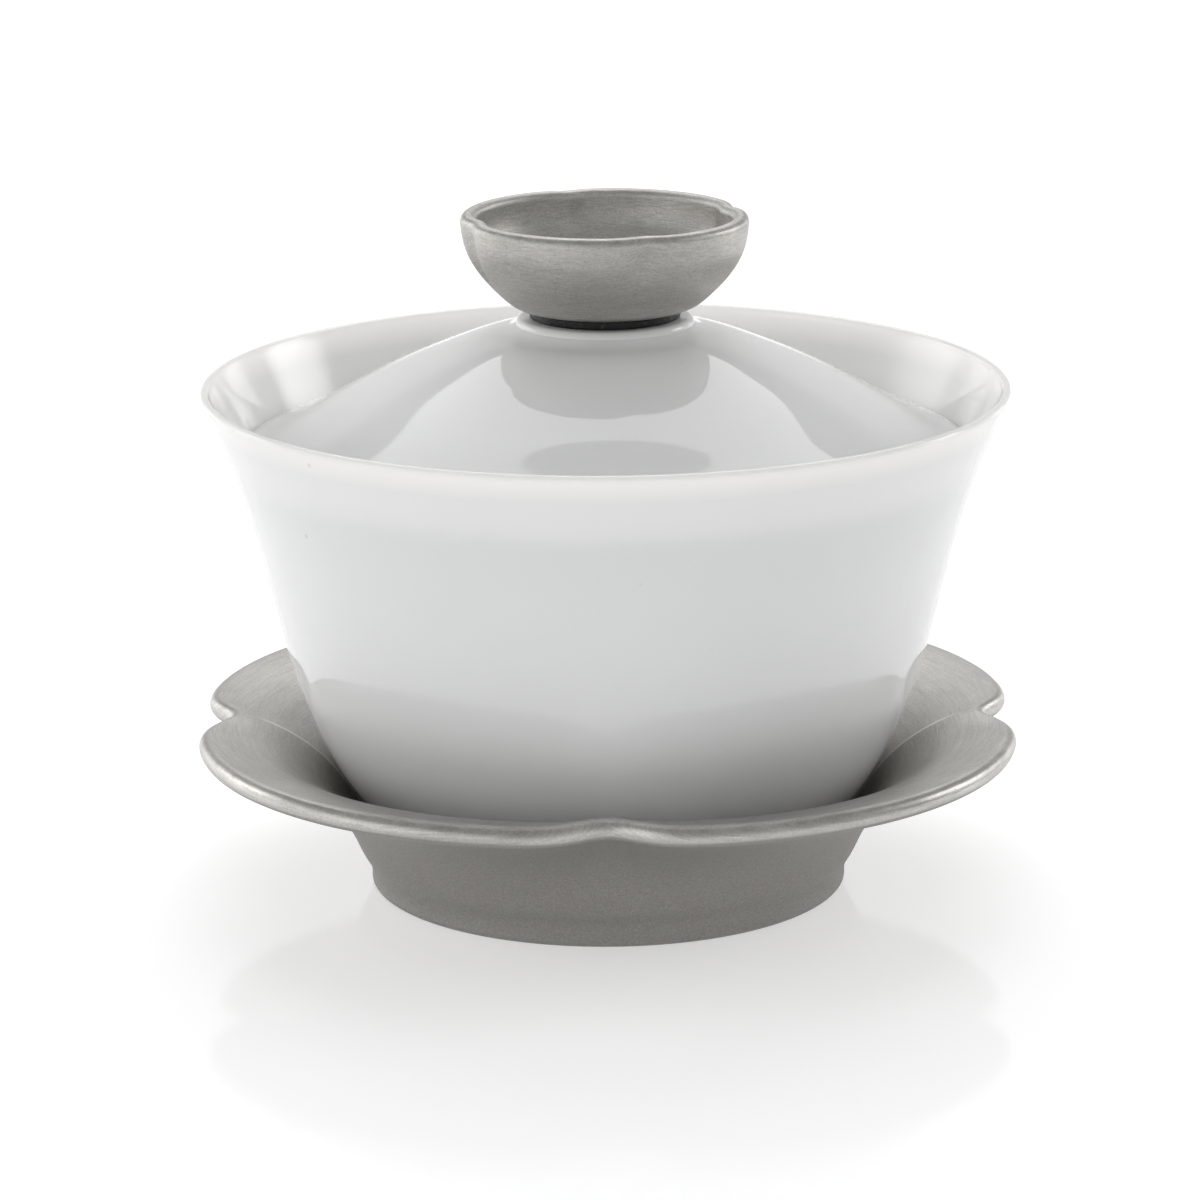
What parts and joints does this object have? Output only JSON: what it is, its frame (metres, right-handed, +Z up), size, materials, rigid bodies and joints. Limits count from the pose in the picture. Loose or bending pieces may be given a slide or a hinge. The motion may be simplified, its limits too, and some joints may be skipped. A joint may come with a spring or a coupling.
{
  "type": "gaiwan",
  "caption": "Lidded porcelain tea bowl on a four-petalled pewter saucer; the domed lid lifts off by a lobed, cup-shaped pewter knob.",
  "frame": {"origin": "centre of the saucer's foot, on the surface that it stands on", "axes": "+Z up along the common axis of saucer, bowl and lid; the notches between the saucer's petals lie along X and Y"},
  "size_m": [0.101, 0.101, 0.0848],
  "materials": {
    "pewter": "satin pewter, brushed on top and blasted on the foot",
    "porcelain": "clear gloss glaze over white porcelain",
    "black_rubber": "matt moulded rubber",
    "silicone": "translucent white silicone",
    "stainless_steel": "turned stainless steel"
  },
  "bodies": {
    "saucer": {"saucer": "pewter"},
    "bowl": {"bowl": "porcelain"},
    "lid": {"lid": "porcelain", "lid_knob": "pewter", "knob_gasket": "black_rubber", "knob_screw": "stainless_steel", "knob_screw_washer": "stainless_steel", "screw_seal": "silicone"}
  },
  "joints": [
    {"name": "bowl_lift", "type": "slide", "parent": "saucer", "child": "bowl", "axis": [0, 0, 1], "range_m": [0, 0.06]},
    {"name": "lid_lift", "type": "slide", "parent": "bowl", "child": "lid", "axis": [0, 0, 1], "range_m": [0, 0.08]}
  ]
}
